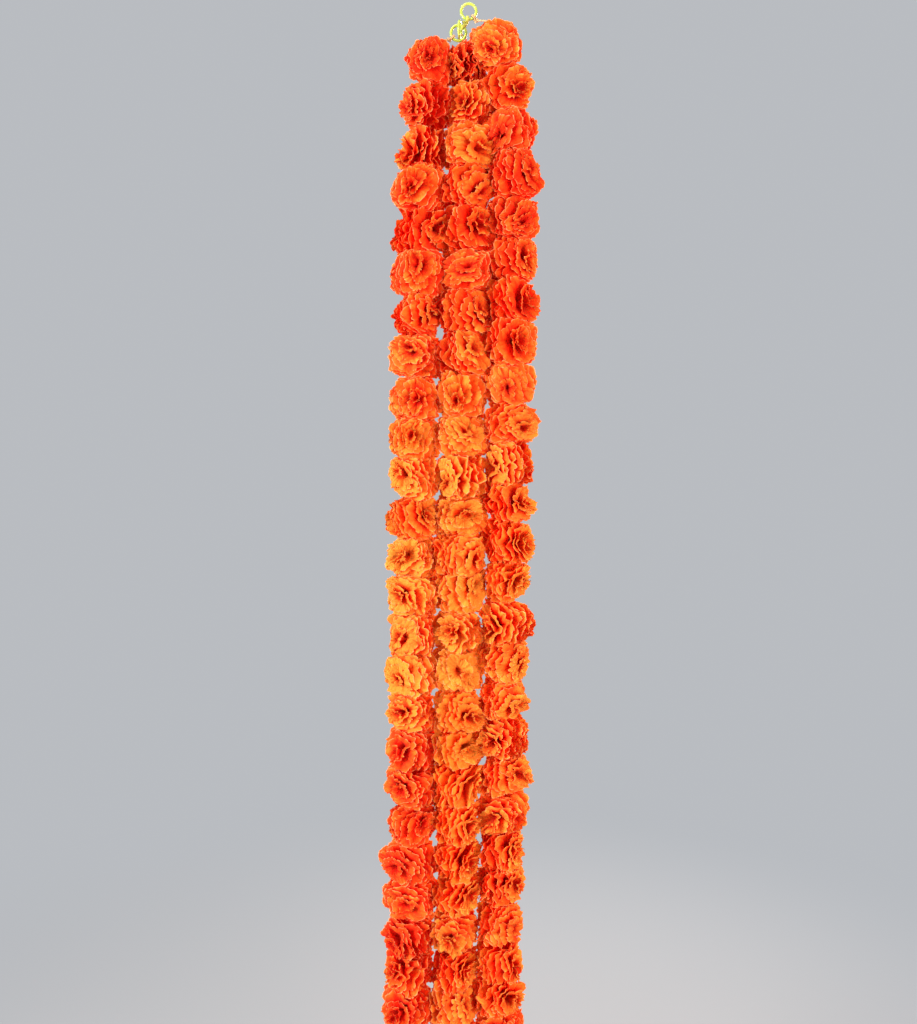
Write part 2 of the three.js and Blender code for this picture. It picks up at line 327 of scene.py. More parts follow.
# the cords with their eyes and knots, in mm and degrees
cordPlan = {
    "radius": 1.1,
    "step": 1.8,
    "lay": 11.0,  # length of one turn of the twist
    "yarns": 3,
    "lobe": 0.16,  # how far each of the yarns stands out
    "eyeRadius": 2.6,
    "eyeWire": 0.75,
    "eyeLobe": 0.1,
    "knotRadius": 2.6,
    "tieKnotRadius": 3.3,
    "tieWire": 0.95,
    "tieEnds": (260, 50),  # where the tie goes round the right ring and round the left one
    "tieTilt": 2.2,
    "endKnotRadius": 4.2,
    "endLobe": 0.12,
    "waist": 17.0,  # half the height of a bloom's core
    "clear": 0.8,  # how far outside a bloom's core the cord's route has its points
    "tail": 9.0,  # how far the route goes on below the last core
    "bend": 6.0,  # how far from a corner of its route a cord starts to bend
    "core": 0.92,  # share of the cord's radius that the yarns stand out from
    "eyeLength": 2.2,
    "left": {"degrees": 215, "knot": (-20.3, 0, -35.4), "lead": [(-36, -2, -37.5)]},
    "middle": {"degrees": 320, "knot": (-7.5, 8.2, -33.6), "lead": []},
    "right": {"degrees": 310, "knot": (8, -0.5, -15.9), "lead": [(20, -9, -19)]},
    "corners": {"cord": 6, "yarn": 9},  # of a section
    "tan": (0.62, 0.42, 0.19),
    "green": (0.56, 0.60, 0.07),
    "fibres": (2600.0, 0.2, 0.0002),  # their scale, their scale along the cord and their depth in metres
    "wear": 120.0,
    "shades": ((0.12, 0.62), (0.42, 1.25)),  # places on the pattern, with their share of the colour
}


def nylon(name, colour):
    material, tree, node = newFinish(name)
    noise = noiseMaker(node)
    shader = tree.nodes["Principled BSDF"]
    place = node("ShaderNodeTexCoord").outputs["Object"]
    scale, lengthwise, depth = cordPlan["fibres"]
    stretched = node("ShaderNodeMapping", {"Vector": place, "Scale": (1.0, 1.0, lengthwise)}).outputs[0]
    fibres = noise(stretched, scale, 3.0)
    worn = noise(place, cordPlan["wear"], 3.0)
    tint = node("ShaderNodeValToRGB", (mathsMaker(node)("MULTIPLY", fibres, worn),))
    for stop, (position, share) in zip(tint.color_ramp.elements, cordPlan["shades"]):
        stop.position, stop.color = position, (*[min(1.0, c * share) for c in colour], 1)
    bump = node("ShaderNodeBump", {"Height": fibres, "Strength": 0.5, "Distance": depth})
    tree.links.new(tint.outputs["Color"], shader.inputs["Base Color"])
    tree.links.new(bump.outputs["Normal"], shader.inputs["Normal"])
    shader.inputs["Roughness"].default_value = 0.5
    shader.inputs["Sheen Weight"].default_value = 0.2
    return material


def yarnTree():  # a twisted tube along a line
    tree = newShape("twistedYarn", {
        "Radius": "Float", "Lobe": "Float", "Twist": "Float", "Corners": "Int", "Nylon": "Material",
    })
    node = nodeMaker(tree)
    maths = mathsMaker(node)
    given = node("NodeGroupInput").outputs
    along = node("GeometryNodeSplineParameter").outputs["Length"]
    turn = maths("MULTIPLY", along, given["Twist"])
    line = node("GeometryNodeMeshToCurve", {"Mesh": given["Geometry"]}).outputs[0]
    line = node("GeometryNodeSetCurveTilt", {"Curve": line, "Tilt": turn}).outputs[0]
    circle = node("GeometryNodeCurvePrimitiveCircle", {"Resolution": given["Corners"], "Radius": 1.0})
    place = node("GeometryNodeInputPosition").outputs[0]
    x, y, _ = node("ShaderNodeSeparateXYZ", (place,)).outputs
    wave = maths("COSINE", maths("MULTIPLY", maths("ARCTAN2", y, x), float(cordPlan["yarns"])))
    grown = maths("MULTIPLY", maths("MULTIPLY_ADD", wave, given["Lobe"], 1.0), given["Radius"])
    lobed = node("ShaderNodeVectorMath", {"Vector": place, "Scale": grown}, operation="SCALE")
    section = node("GeometryNodeSetPosition", {"Geometry": circle.outputs[0], "Position": lobed.outputs[0]})
    tube = node("GeometryNodeCurveToMesh", {
        "Curve": line, "Profile Curve": section.outputs[0], "Fill Caps": True})
    real = node("GeometryNodeRealizeInstances", (tube.outputs[0],)).outputs[0]
    finished = node("GeometryNodeSetMaterial", {"Geometry": real, "Material": given["Nylon"]})
    node("NodeGroupOutput", (finished.outputs[0],))
    return tree


def yarnPiece(tree, name, lines, radius, lobe, corners, material):
    points, edges = [], []
    for line in lines:
        start = len(points)
        points += [point * mm for point in line]
        edges += [(start + i, start + i + 1) for i in range(len(line) - 1)]
    mesh = bpy.data.meshes.new("line")
    mesh.from_pydata(points, edges, [])
    holder = linked("line", mesh)
    shapeWith(holder, tree, {
        "Radius": radius * mm, "Lobe": lobe, "Twist": 2 * math.pi / (cordPlan["lay"] * mm),
        "Corners": corners, "Nylon": material,
    })
    piece = plainPiece(holder, name)
    outwards(piece.data)
    return piece


def evenly(points, step):  # the route with its corners rounded, in steps of about one length
    for _ in range(3):
        rounded = [points[0]]
        for a, b in zip(points, points[1:]):
            cut = min(0.25, cordPlan["bend"] / (b - a).length)
            rounded += [a.lerp(b, cut), a.lerp(b, 1 - cut)]
        points = [*rounded, points[-1]]
    line, left = [points[0]], step
    for a, b in zip(points, points[1:]):
        length = (b - a).length
        while length >= left:
            a = a.lerp(b, left / length)
            line.append(a)
            length = (b - a).length
            left = step
        left -= length
    return line if (line[-1] - points[-1]).length < step / 3 else [*line, points[-1]]


def eyeLine(ring, degrees):  # two turns of yarn round a ring's wire
    at, along, out = ringFrame(ring, degrees)
    beside = along.cross(out)
    steps = 40
    line = []
    for i in range(steps + 1):
        angle = 4 * math.pi * i / steps
        line.append(at + (out * math.cos(angle) + beside * math.sin(angle)) * cordPlan["eyeRadius"]
                    + along * (i / steps - 0.5) * cordPlan["eyeLength"])
    return line


def knotLine(centre, radius, tilt):  # a trefoil knot of this radius
    turn = Matrix.Rotation(tilt, 3, "Y") @ Matrix.Rotation(tilt * 0.7, 3, "X")
    steps, widest, thick = 48, 3.6, 1.6
    line = []
    for i in range(steps + 1):
        t = 2 * math.pi * i / steps
        bend = Vector((
            math.sin(t) + 2 * math.sin(2 * t),
            math.cos(t) - 2 * math.cos(2 * t),
            -thick * math.sin(3 * t),
        ))
        line.append(Vector(centre) + turn @ bend * (radius / widest))
    return line


def cordRoute(side):
    plan, own = cordPlan[side], blooms[side]
    route = [Vector(plan["knot"]), *[Vector(point) for point in plan["lead"]]]
    for i in (0, 2):
        above, below = own[i], own[i + 1]
        up = (above["centre"] - below["centre"]).normalized()
        route.append(above["centre"] + up * (cordPlan["waist"] * above["size"] + cordPlan["clear"]))
        route.append(below["centre"] - up * (cordPlan["waist"] * below["size"] + cordPlan["clear"]))
    straight = own[4]["centre"]
    route.append(straight + Vector((0, 0, cordPlan["waist"] + cordPlan["clear"])))
    tail = own[-1]["centre"].z - cordPlan["waist"] - cordPlan["tail"]
    route.append(Vector((straight.x, straight.y, tail)))
    return evenly(route, cordPlan["step"])


def makeCords():
    tree = yarnTree()
    tan, green = nylon("tanNylon", cordPlan["tan"]), nylon("greenNylon", cordPlan["green"])
    few, many = cordPlan["corners"]["cord"], cordPlan["corners"]["yarn"]
    for number, side in enumerate(sides):
        plan = cordPlan[side]
        route = cordRoute(side)
        core = cordPlan["radius"] * cordPlan["core"]
        cord = yarnPiece(tree, f"strandCord_{side}", [route], core, cordPlan["lobe"], few, tan)
        eye = yarnPiece(tree, f"cordEye_{side}", [
            eyeLine(ringPlan[side], plan["degrees"]),
            knotLine(plan["knot"], cordPlan["knotRadius"], number + 0.4),
        ], cordPlan["eyeWire"], cordPlan["eyeLobe"], many, tan)
        end = yarnPiece(tree, f"endKnot_{side}", [
            knotLine(route[-1], cordPlan["endKnotRadius"], number + 1.3),
        ], cordPlan["radius"], cordPlan["endLobe"], many, tan)
        for piece in (cord, eye, end):
            standFor(piece, "cord_nylon", f"cord_{side}")
        lengthOf(route) * mm
    ends = list(zip((ringPlan["right"], ringPlan["left"]), cordPlan["tieEnds"]))
    (top, _, _), (end, _, _) = [ringFrame(ring, degrees) for ring, degrees in ends]
    tie = yarnPiece(tree, "ringTieYarn", [
        *[eyeLine(ring, degrees) for ring, degrees in ends],
        knotLine(top.lerp(end, 0.5), cordPlan["tieKnotRadius"], cordPlan["tieTilt"]),
    ], cordPlan["tieWire"], cordPlan["eyeLobe"], many, green)
    standFor(tie, "tie_nylon", "ring_tie")


def lengthOf(line):
    return sum((b - a).length for a, b in zip(line, line[1:]))


makeCords()
print("cords made")


# the cloth of the blooms, its lengths in metres
clothLook = {
    # the darkest red, where painted shade and the darkest patches pull the colour down
    "deep": (0.88, 0.009, 0.002),
    "red": (0.99, 0.050, 0.008),
    "orange": (1.0, 0.150, 0.014),
    "yellow": (1.0, 0.39, 0.045),
    # the colour of the painted highlight along the petals' rims
    "rim": (1.0, 0.57, 0.25),
    "glow": 0.42,  # share of the light that passes through the cloth
    "roughness": 0.72,
    "shine": 0.12,
    "sheen": 0.08,
    "sheenTint": (1.0, 0.62, 0.40),
    "passed": (1.0, 0.62, 0.45),  # what the cloth leaves of the light that passes through it
    "shadedNook": 0.42,  # painted shade: how much redder and darker the cloth is deep between the layers
    "shadedNookDepth": 0.010,
    "shadedNookOpen": (0.05, 0.60),  # how open the cloth lies where the painted shade is fullest, and where the painted light is full
    "plain": 0.06,  # painted light: how much yellower the open cloth is
    "stops": {"deep": 0.0, "red": 0.30, "orange": 0.62, "yellow": 1.0},  # where the colours lie on the ramp
    "shadedFoot": (0.30, -0.50),  # painted shade: up to this reach a petal is redder and darker by this much
    "tip": 0.20,  # painted light: how much yellower a petal's tip is
    "edge": (0.955, 0.99, 0.70),  # the painted highlight along the rims: where it starts, where it is full and its strength
    "patches": (70.0, 1.15),  # scale and strength of the uneven dye
    "mottle": (620.0, 0.24),
    "weave": (520.0, 0.00012),  # scale and depth of the threads
    "crepe": (290.0, 0.0024),  # scale and depth of the crumples
    # number of the creases that run from the middle, how much they change on the way, and their depth
    "gathers": (9.0, 1.2, 0.0018),
}


def clothMaterial():
    material, tree, node = newFinish("petalCloth")
    tree.nodes.clear()
    maths, noise = mathsMaker(node), noiseMaker(node)
    look = clothLook

    def ranged(value, start, end, low, high):
        return node("ShaderNodeMapRange", (value, start, end, low, high)).outputs["Result"]

    cloth = node("ShaderNodeAttribute", attribute_name="cloth").outputs["Vector"]
    reach = node("ShaderNodeAttribute", attribute_name="reach").outputs["Fac"]
    shade = node("ShaderNodeAttribute", attribute_name="dyeAndLight").outputs["Fac"]
    for scale, strength in (look["patches"], look["mottle"]):
        uneven = maths("MULTIPLY_ADD", noise(cloth, scale, 2.0), strength, -strength / 2)
        shade = maths("ADD", shade, uneven)
    # painted shade towards each petal's foot, painted light towards its tip
    shadedFoot, paintedFootShade = look["shadedFoot"]
    shade = maths("ADD", shade, ranged(reach, shadedFoot, 1.0, paintedFootShade, look["tip"]))

    # painted shade: where ambient occlusion finds the cloth closed in between the layers, it is made redder
    # and darker; where it lies open it is a little yellower, as painted light
    shadedNook = node("ShaderNodeAmbientOcclusion", {"Distance": look["shadedNookDepth"]}, samples=6).outputs["AO"]
    closed, plain = look["shadedNookOpen"]
    shade = maths("ADD", shade, ranged(shadedNook, closed, plain, -look["shadedNook"], look["plain"]))
    ramp = node("ShaderNodeValToRGB", (shade,))
    stops = ramp.color_ramp.elements
    for name, position in look["stops"].items():
        stop = {0.0: stops[0], 1.0: stops[-1]}.get(position) or stops.new(position)
        stop.color = (*look[name], 1)

    # a painted highlight along the petals' rims
    start, full, strength = look["edge"]
    edge = ranged(reach, start, full, 0.0, strength)
    # the base colour: the dye with the painted shade and the painted highlight on it
    dyeAndPaintedLight = node("ShaderNodeMix", {"Factor": edge, 6: ramp.outputs["Color"], 7: (*look["rim"], 1)},
                data_type="RGBA").outputs[2]

    threads = [
        node("ShaderNodeTexWave", {"Vector": cloth, "Scale": look["weave"][0], "Distortion": 1.5},
             bands_direction=way).outputs["Fac"]
        for way in "XY"
    ]
    weave = maths("MULTIPLY", *threads)
    crepe = noise(cloth, look["crepe"][0], 3.0, 0.6)
    x, y, layer = node("ShaderNodeSeparateXYZ", (cloth,)).outputs
    spoke = node("ShaderNodeCombineXYZ", (x, y)).outputs[0]
    spoke = node("ShaderNodeVectorMath", (spoke,), operation="NORMALIZE").outputs["Vector"]
    number, change, _ = look["gathers"]
    along = maths("MULTIPLY_ADD", reach, change, layer)
    along = node("ShaderNodeCombineXYZ", (0.0, 0.0, along)).outputs[0]
    spoke = node("ShaderNodeVectorMath", (spoke, (number,) * 3, along), operation="MULTIPLY_ADD")
    spoke = spoke.outputs["Vector"]
    gathers = noise(spoke, 1.0, 2.0)
    rough = None
    bumps = ((gathers, 1.0, "gathers"), (weave, 0.25, "weave"), (crepe, 0.9, "crepe"))
    for height, strength, name in bumps:
        bump = node("ShaderNodeBump", {
            "Height": height, "Strength": strength, "Distance": look[name][-1], "Normal": rough})
        rough = bump.outputs["Normal"]

    front = node("ShaderNodeBsdfPrincipled", {
        "Base Color": dyeAndPaintedLight, "Roughness": look["roughness"], "Specular IOR Level": look["shine"],
        "Sheen Weight": look["sheen"], "Sheen Roughness": 0.5, "Sheen Tint": (*look["sheenTint"], 1),
        "Normal": rough,
    })
    passed = node("ShaderNodeMix", {"Factor": 1.0, 6: dyeAndPaintedLight, 7: (*look["passed"], 1)},
                  data_type="RGBA", blend_type="MULTIPLY").outputs[2]
    through = node("ShaderNodeBsdfTranslucent", {"Color": passed, "Normal": rough})
    both = node("ShaderNodeMixShader", (look["glow"], front.outputs[0], through.outputs[0]))
    node("ShaderNodeOutputMaterial", (both.outputs[0],))
    return material


petalCloth = clothMaterial()


# one flat round of cloth that every layer of a head is made from
roundPlan = {
    # each ring of points: its reach and the number of its points
    "rings": [(0.18, 12), (0.45, 24), (0.66, 48), (0.82, 96), (0.93, 96), (1.0, 96)],
    "scallop": (1.0, 0.3, 0.0, 0.3),  # how far in the edge stands at each point of one scallop
    "notch": 0.055,  # how deep the scallops of the edge are cut
    "unevenness": 0.02,
}


def clothRound():
    points, circle, turns, reaches, faces = [(0, 0, 0)], [(1, 0, 0)], [0.0], [0.0], []
    scallop = roundPlan["scallop"]
    last = [0]
    for reach, count in roundPlan["rings"]:
        ring = []
        for i in range(count):
            angle = 2 * math.pi * i / count
            cut = 0
            if reach == 1:
                depth = roundPlan["notch"] * (0.5 + draw(i // len(scallop) + 70))
                cut = depth * scallop[i % len(scallop)]
                cut += roundPlan["unevenness"] * draw(i // len(scallop))
            ring.append(len(points))
            points.append((math.cos(angle) * reach * mm, math.sin(angle) * reach * mm, 0))
            circle.append((math.cos(angle), math.sin(angle), reach - cut))
            turns.append(i / count)
            reaches.append(reach)
        for i in range(count):
            j = (i + 1) % count
            if len(last) == 1:
                faces.append((0, ring[i], ring[j]))
            elif len(last) == count:
                faces += [(last[i], ring[i], ring[j]), (last[i], ring[j], last[j])]
            elif i % 2 == 0:
                a, b = last[i // 2], last[(i // 2 + 1) % len(last)]
                far = ring[(i + 2) % count]
                faces += [(a, ring[i], ring[j]), (a, ring[j], b), (b, ring[j], far)]
        last = ring
    mesh = bpy.data.meshes.new("clothRound")
    mesh.from_pydata(points, [], faces)
    turned = mesh.attributes.new("circle", "FLOAT_VECTOR", "POINT")
    turned.data.foreach_set("vector", [x for place in circle for x in place])
    for label, values in (("turn", turns), ("reach", reaches)):
        attribute = mesh.attributes.new(label, "FLOAT", "POINT")
        attribute.data.foreach_set("value", values)
    mesh.materials.append(petalCloth)
    return linked("clothRound", mesh)


# the heads: rounds of cloth nested in each other, ruffled and pressed together, lengths in mm
headPlan = {
    # each layer from the cord outwards: its middle, two points that bend it and its rim, as (out from
    # the axis, along the axis), in a head that lies open and in one that stands closed
    "open": [
        [(0, 0.6), (7, 0), (19, 3), (27, 1)],
        [(0, 1.2), (6, 3), (19, 8), (28, 4.5)],
        [(0, 1.8), (5, 7), (18, 12.5), (27.5, 8.5)],
        [(0, 2.4), (4, 11), (16, 17.5), (26, 11.5)],
        [(0, 3.0), (3, 14), (14, 21.5), (24, 14)],
        [(0, 3.8), (2.5, 17), (11, 25.5), (20.5, 16.5)],
        [(0, 4.5), (2, 18), (5, 26.5), (13, 20.5)],
    ],
    "closed": [
        [(0, 0.6), (7, 0), (18, 2.5), (26.5, 2.5)],
        [(0, 1.2), (5, 3.5), (18, 7), (27.5, 7)],
        [(0, 1.8), (4, 8), (17, 11.5), (26.5, 11)],
        [(0, 2.4), (3.5, 10), (14, 16), (23.5, 15.5)],
        [(0, 3.0), (3, 12), (11, 18.5), (19, 19.5)],
        [(0, 6), (2.5, 14), (7.5, 20.5), (13.5, 23.5)],
        [(0, 13), (5, 22), (7.5, 28), (7, 24.5)],
    ],
    "ruffle": 2.6,  # share that brings the noise of folds, pleats and crinkles to full height
    "foldTurns": 1.5,
    "fold": (4.5, 4.0, 9.0),  # how far the slow folds carry the rim: outwards, sideways and along
    "foldRise": 1.4,  # the higher, the nearer the rim the folds start
    "foldInside": 0.25,  # how much flatter the folds of the innermost layer are
    "pleatTurns": 4.0,
    "pleat": (2.6, 2.6, 5.6),
    "pleatRise": 1.5,
    "pleatInside": 0.35,
    "crinkleTurns": 6.5,
    "crinkle": 1.35,
    "closing": 1.5,  # the higher, the more of the heads stand closed
    "crowd": 5.0,  # how far off its axis a head's innermost layer stands
    "squeeze": 0.45,  # how much narrower the innermost layer is one way than the other
    "tilt": 0.24,  # how far a layer may lean from its head's axis
    "flatReach": 30.0,  # of a layer that lies flat, for its patterns
    "petals": (6, 6, 6, 6, 5, 5, 4),
    "petalNotch": 0.13,  # how deep the petals of a round are parted
    "petalStep": 2.6,  # how far one petal's side lies over the next one
    "petalRise": (4.0, 3.0, 1.5),  # how narrow a notch is, and how near the rim notch and step start
    "widen": 0.36,  # how far what is pressed up and down spreads to the sides
    "drift": 0.22,  # how unlike the folds of neighbouring layers are
    "nod": 0.14,
    "firm": 0.66,  # share of the way to the next bloom that is not pressed
    "beyond": 6.0,  # how far past the rim, in mm, cloth is still pressed
    "overlap": 3.6,
    "spill": 8.5,  # how much further petals reach up and down where they are far from the cord
    "roundOff": 2.0,  # how much rounder a bloom is on the side with no strand beside it
    "slump": 4.2,  # how far a whole head is out of its even shape
    "slumpScale": 48.0,
    "size": 1.10,
    "sizeVariety": 0.13,
    # the top blooms are moved by themselves
    "firstShifts": {"left": (3.2, 0, 0.6), "middle": (0, -6, 0), "right": (-4.2, 0, 0)},
    "closer": 1.3,  # how much nearer the middle strand the outer strands' petals lie
    "topCloser": 4.0,  # more of the same in the top rows, where the strands come together
    "topRows": 8,
    "shift": (3.5, 6.0, 4.0),  # how far blooms hang out of place: sideways, in depth and in height
}


def headTree():
    tree = newShape("ruffledHeads", {
        "Round": "Object", "Cloth": "Material", "Fold Turns": "Float", "Pleat Turns": "Float",
        "Crinkle": "Float", "Firm": "Float", "Reach": "Float", "Petal Notch": "Float",
        "Petal Step": "Float", "Widen": "Float", "Spill": "Float",
        "Slump": "Float", "Slump Scale": "Float", "Round Off": "Float",
    })
    node = nodeMaker(tree)
    maths = mathsMaker(node)
    given = node("NodeGroupInput").outputs

    def named(label, kind="FLOAT_VECTOR"):
        held = node("GeometryNodeInputNamedAttribute", {"Name": label}, data_type=kind)
        return held.outputs["Attribute"]

    def added(a, b):
        return node("ShaderNodeVectorMath", (a, b), operation="ADD").outputs["Vector"]

    def multiplied(a, b):
        return node("ShaderNodeVectorMath", (a, b), operation="MULTIPLY").outputs["Vector"]

    def scaled(a, share):
        return node("ShaderNodeVectorMath", {"Vector": a, "Scale": share}, operation="SCALE").outputs[0]

    def ruffle(place, seed, detail):  # three draws, mostly from -1 to 1, that change smoothly
        noise = node("ShaderNodeTexNoise", {"Vector": place, "W": seed, "Scale": 1.0, "Detail": detail},
                     noise_dimensions="4D")
        return scaled(added(noise.outputs["Color"], (-0.5, -0.5, -0.5)), headPlan["ruffle"])

    def shiftOf(number):
        return node("ShaderNodeCombineXYZ", (0.0, number, 0.0)).outputs[0]

    rounds = node("GeometryNodeObjectInfo", {"Object": given["Round"]})
    placed = node("GeometryNodeInstanceOnPoints", {
        "Points": given["Geometry"], "Instance": rounds.outputs["Geometry"]})
    cloth = node("GeometryNodeRealizeInstances", (placed.outputs["Instances"],)).outputs[0]

    circle = node("ShaderNodeSeparateXYZ", (named("circle"),))
    cos, sin, reach = circle.outputs
    way = node("ShaderNodeCombineXYZ", (cos, sin)).outputs[0]
    seeds = node("ShaderNodeSeparateXYZ", (named("seeds"),))
    headSeed, layerSeed, layerShift = seeds.outputs

    curve = named("bend3")
    for label in ("bend2", "bend1", "bend0"):
        curve = added(named(label), scaled(curve, reach))

    shift = node("ShaderNodeCombineXYZ", (0.0, 0.0, layerShift)).outputs[0]
    slow = ruffle(added(scaled(way, given["Fold Turns"]), shift), headSeed, 1.0)
    slow = scaled(multiplied(slow, named("fold")), maths("POWER", reach, headPlan["foldRise"]))
    quick = ruffle(added(scaled(way, given["Pleat Turns"]), shift), layerSeed, 1.0)
    quick = scaled(multiplied(quick, named("pleat")), maths("POWER", reach, headPlan["pleatRise"]))
    spread = scaled(way, maths("MULTIPLY", reach, headPlan["crinkleTurns"]))
    tiny = ruffle(added(spread, shift), layerSeed, 2.0)
    tiny = scaled(tiny, maths("MULTIPLY", given["Crinkle"], reach))
    waves = node("ShaderNodeSeparateXYZ", (added(added(slow, quick), tiny),))
    dOut, dSide, dAlong = waves.outputs

    # each round is parted into petals that lie over each other in turn
    turn, petals = named("turn", "FLOAT"), named("petals", "FLOAT")
    petalPlace = maths("FRACT", maths("MULTIPLY_ADD", turn, petals, layerSeed))
    fromMiddle = maths("SUBTRACT", petalPlace, 0.5)
    narrow, rise, stepRise = headPlan["petalRise"]
    petalSide = maths("POWER", maths("ABSOLUTE", maths("MULTIPLY", fromMiddle, 2.0)), narrow)
    notch = maths("MULTIPLY", petalSide, given["Petal Notch"])
    parted = maths("MULTIPLY", notch, maths("POWER", reach, rise))
    step = maths("MULTIPLY", fromMiddle, given["Petal Step"])
    step = maths("MULTIPLY", step, maths("POWER", reach, stepRise))

    def inHead(outwards, aside, forwards):  # a move given round the head's axis, as one in space
        sideways = maths("SUBTRACT", maths("MULTIPLY", outwards, cos), maths("MULTIPLY", aside, sin))
        upwards = maths("ADD", maths("MULTIPLY", outwards, sin), maths("MULTIPLY", aside, cos))
        across = added(scaled(named("beside"), sideways), scaled(named("up"), upwards))
        return added(across, scaled(named("out"), forwards))

    profile = node("ShaderNodeSeparateXYZ", (curve,))
    radial = maths("MULTIPLY", profile.outputs[0], maths("SUBTRACT", 1.0, parted))
    offset = inHead(radial, 0.0, maths("ADD", profile.outputs[1], step))
    squeeze = named("squeeze")
    flattened = node("ShaderNodeVectorMath", (offset, squeeze), operation="DOT_PRODUCT").outputs["Value"]
    flattened = scaled(squeeze, maths("MULTIPLY", flattened, -1.0))
    offset = added(added(offset, flattened), named("aside"))

    slump = ruffle(added(scaled(offset, given["Slump Scale"]), shiftOf(headSeed)), headSeed, 1.0)
    offset = added(offset, scaled(slump, given["Slump"]))

    # petals that would pass the middle of the way to the next bloom are pressed back
    cord = named("cord")
    height = node("ShaderNodeVectorMath", (offset, cord), operation="DOT_PRODUCT").outputs["Value"]
    limits = node("ShaderNodeSeparateXYZ", (named("limits"),))
    above = maths("GREATER_THAN", height, 0.0)
    limitUp, limitDown, openWay = limits.outputs
    limit = node("ShaderNodeMix", {"Factor": above, "A": limitDown, "B": limitUp}).outputs[0]
    onCord = scaled(cord, height)
    side = node("ShaderNodeVectorMath", (offset, onCord), operation="SUBTRACT").outputs["Vector"]
    aside = node("ShaderNodeVectorMath", (side,), operation="LENGTH").outputs["Value"]
    aside = maths("DIVIDE", aside, given["Reach"])

    # towards the open side a bloom keeps rounder, and spreads less
    sideX = node("ShaderNodeSeparateXYZ", (side,)).outputs[0]
    free = maths("DIVIDE", maths("MULTIPLY", sideX, openWay), given["Reach"])
    free = maths("MAXIMUM", free, 0.0)
    held = maths("SUBTRACT", 1.0, maths("MULTIPLY", free, given["Round Off"]))
    spilt = maths("MULTIPLY", maths("MULTIPLY", aside, aside), held)
    limit = maths("MULTIPLY_ADD", spilt, given["Spill"], limit)
    size = maths("ABSOLUTE", height)
    start = maths("MULTIPLY", limit, given["Firm"])
    past = maths("MAXIMUM", maths("SUBTRACT", size, start), 0.0)
    room = maths("DIVIDE", maths("SUBTRACT", limit, start), maths("SUBTRACT", given["Reach"], start))
    pressed = maths("ADD", maths("MINIMUM", size, start), maths("MULTIPLY", past, room))
    share = maths("DIVIDE", pressed, limit)
    widen = maths("MULTIPLY", given["Widen"], maths("SUBTRACT", 1.0, maths("MINIMUM", free, 1.0)))
    wider = maths("MULTIPLY_ADD", maths("MULTIPLY", share, share), widen, 1.0)
    offset = added(scaled(side, wider), scaled(cord, maths("MULTIPLY", pressed, maths("SIGN", height))))
    offset = added(offset, inHead(dOut, dSide, dAlong))

    place = added(named("middle"), offset)
    shaped = node("GeometryNodeSetPosition", {"Geometry": cloth, "Position": place})

    # where each point lies on the flat cloth, for the patterns of its material
    flat = scaled(way, maths("MULTIPLY", reach, headPlan["flatReach"] * mm))
    flat = added(flat, node("ShaderNodeCombineXYZ", (0.0, 0.0, layerSeed)).outputs[0])
    stored = node("GeometryNodeStoreNamedAttribute", {
        "Geometry": shaped.outputs[0], "Name": "cloth", "Value": flat}, data_type="FLOAT_VECTOR")
    smooth = node("GeometryNodeSetShadeSmooth", (stored.outputs[0],)).outputs[0]
    finished = node("GeometryNodeSetMaterial", {"Geometry": smooth, "Material": given["Cloth"]})
    node("NodeGroupOutput", (finished.outputs[0],))
    return tree


def bendTerms(points, size):  # a cubic through a layer's four points, as terms of its reach
    a, b, c, d = (Vector((x, y, 0)) * size * mm for x, y in points)
    return a, 3 * (b - a), 3 * (a - 2 * b + c), d - a + 3 * (b - c)


dyeAndLightPlan = {  # how far from red towards yellow the cloth is, as (row, value) for each strand; partly the cloth's own colour and partly painted light, which makes the middle rows, where the light falls most, yellower
    "left": [
        (0, 0.38), (1, 0.34), (2, 0.50), (5, 0.42), (8, 0.46), (10, 0.78),
        (13, 0.94), (15, 0.66), (17, 0.38), (33, 0.44),
    ],
    "middle": [
        (0, 0.40), (1, 0.48), (4, 0.40), (6, 0.42), (8, 0.66), (12, 0.84),
        (15, 1.08), (17, 1.00), (21, 0.70), (24, 0.56), (33, 0.54),
    ],
    "right": [
        (0, 0.42), (1, 0.40), (3, 0.34), (6, 0.38), (8, 0.50), (13, 0.76),
        (16, 0.70), (18, 0.56), (33, 0.52),
    ],
    "bloomVariety": 0.12,
    "headVariety": 0.18,
    "throat": 0.62,  # how much yellower the inner layers may be
    "throatFrom": 4,  # the first of the inner layers
}


def dyeAndLightAt(side, row):
    stops = dyeAndLightPlan[side]
    for (a, low), (b, high) in zip(stops, stops[1:]):
        if a <= row <= b:
            return low + (high - low) * (row - a) / (b - a)
    return stops[-1][1]


def hangingPlace(bloom):
    if bloom["row"] == 0:
        return bloom["centre"] + Vector(headPlan["firstShifts"][bloom["side"]])
    shift = Vector([(draw(bloom["key"] + 50 + i) - 0.5) * headPlan["shift"][i] for i in range(3)])
    top = max(0, 1 - bloom["row"] / headPlan["topRows"])
    shift.x -= (headPlan["closer"] + headPlan["topCloser"] * top) * strandPlan[bloom["side"]]["open"]
    return bloom["centre"] + shift


